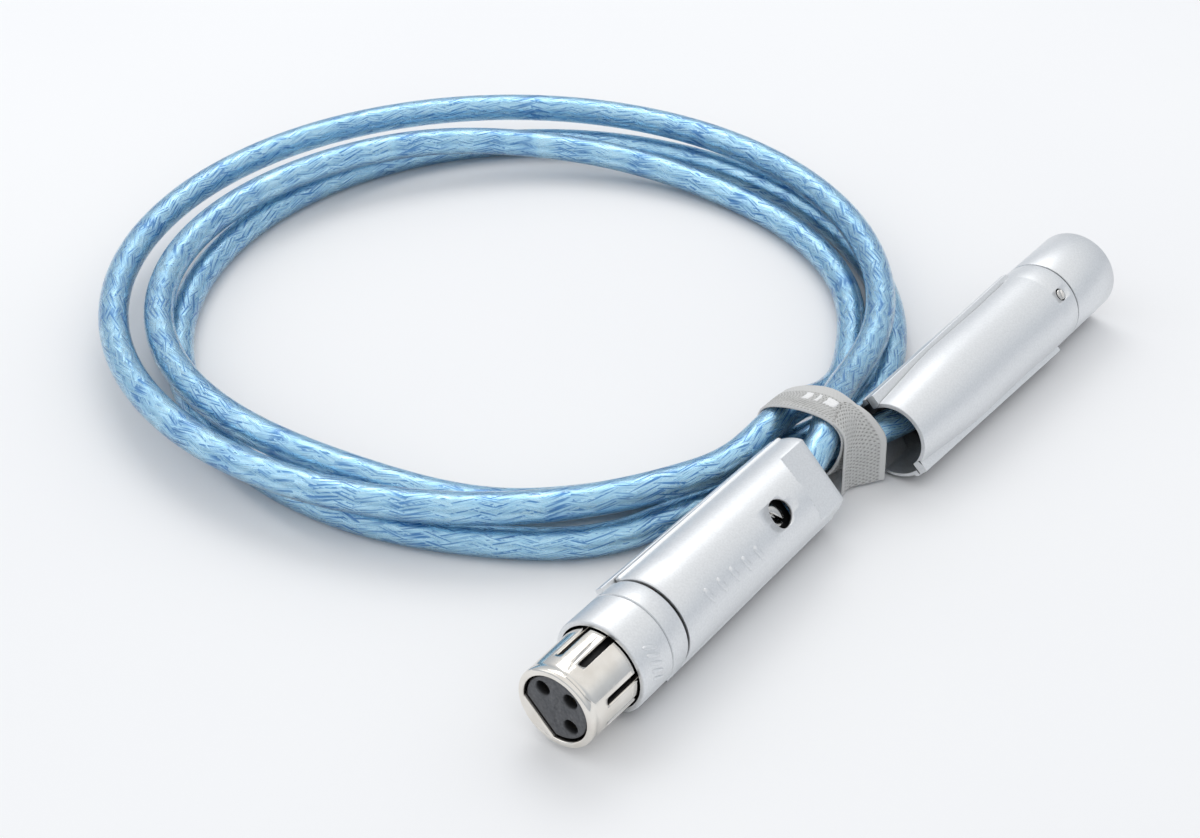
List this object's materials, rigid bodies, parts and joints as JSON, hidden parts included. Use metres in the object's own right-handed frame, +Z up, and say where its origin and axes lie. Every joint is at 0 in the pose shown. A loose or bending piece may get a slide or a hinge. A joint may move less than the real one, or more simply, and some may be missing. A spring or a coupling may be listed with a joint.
{
  "type": "xlr cable coil",
  "caption": "Coiled balanced audio cable with a clear blue jacket over braid, a three-pole socket and plug in satin metal shells, held by a woven strap.",
  "frame": {"origin": "centre of the whole outline, on the surface the coil lies on", "axes": "+Z up from that surface; the socket points towards -X -Y and the plug towards +X +Y, both axes about 37 degrees from +Y towards +X"},
  "size_m": [0.2244, 0.2258, 0.019],
  "materials": {
    "jacket": "clear blue jacket over silver braid, glossy",
    "webbing": "grey woven hook-and-loop strap",
    "satin_shell": "fine satin",
    "nickel_sleeve": "polished nickel",
    "insert_plastic": "dark grey moulding",
    "contact_gold": "gold-coloured plating",
    "clamp_plastic": "black moulding",
    "screw_steel": "bright nickel-plated",
    "lead_red": "insulated lead",
    "lead_white": "insulated lead",
    "lead_copper": "tinned copper strands"
  },
  "bodies": {
    "coil": {"cable": "jacket", "plug_barrel": "satin_shell", "plug_body": "satin_shell", "plug_clamp": "clamp_plastic", "plug_conductor_1": "lead_red", "plug_conductor_2": "lead_white", "plug_cover": "satin_shell", "plug_drain_wire": "lead_copper", "plug_insert": "insert_plastic", "plug_insert_screw": "screw_steel", "plug_pin_1": "contact_gold", "plug_pin_2": "contact_gold", "plug_pin_3": "contact_gold", "socket_body": "satin_shell", "socket_clamp": "clamp_plastic", "socket_conductor_1": "lead_red", "socket_conductor_2": "lead_white", "socket_contact_1": "contact_gold", "socket_contact_2": "contact_gold", "socket_contact_3": "contact_gold", "socket_cover": "satin_shell", "socket_drain_wire": "lead_copper", "socket_insert": "insert_plastic", "socket_insert_screw": "screw_steel", "socket_nose": "nickel_sleeve", "strap_band": "webbing"},
    "latch": {"socket_latch": "nickel_sleeve"},
    "socket_clamp_screw": {"socket_clamp_screw": "screw_steel"},
    "plug_clamp_screw": {"plug_clamp_screw": "screw_steel"},
    "strap_end": {"strap_tail": "webbing"}
  },
  "joints": [
    {"name": "latch_press", "type": "slide", "parent": "coil", "child": "latch", "axis": [0.5607, -0.4164, 0.7157], "range_m": [0, 0.001], "stiffness_N_per_m": 1200, "springref_m": -0.0008},
    {"name": "socket_clamp_screw_turn", "type": "hinge", "parent": "coil", "child": "socket_clamp_screw", "pos_m": [0.02641, -0.05996, 0.0095], "axis": [0.5607, -0.4164, 0.7157], "continuous": true},
    {"name": "plug_clamp_screw_turn", "type": "hinge", "parent": "coil", "child": "plug_clamp_screw", "pos_m": [0.06782, -0.0166, 0.0095], "axis": [-0.5287, 0.4101, -0.7431], "continuous": true},
    {"name": "strap_end_peel", "type": "hinge", "parent": "coil", "child": "strap_end", "pos_m": [0.04476, -0.03186, 0.01767], "axis": [-0.4823, -0.876, -0.0044], "range_deg": [0, 60]}
  ]
}
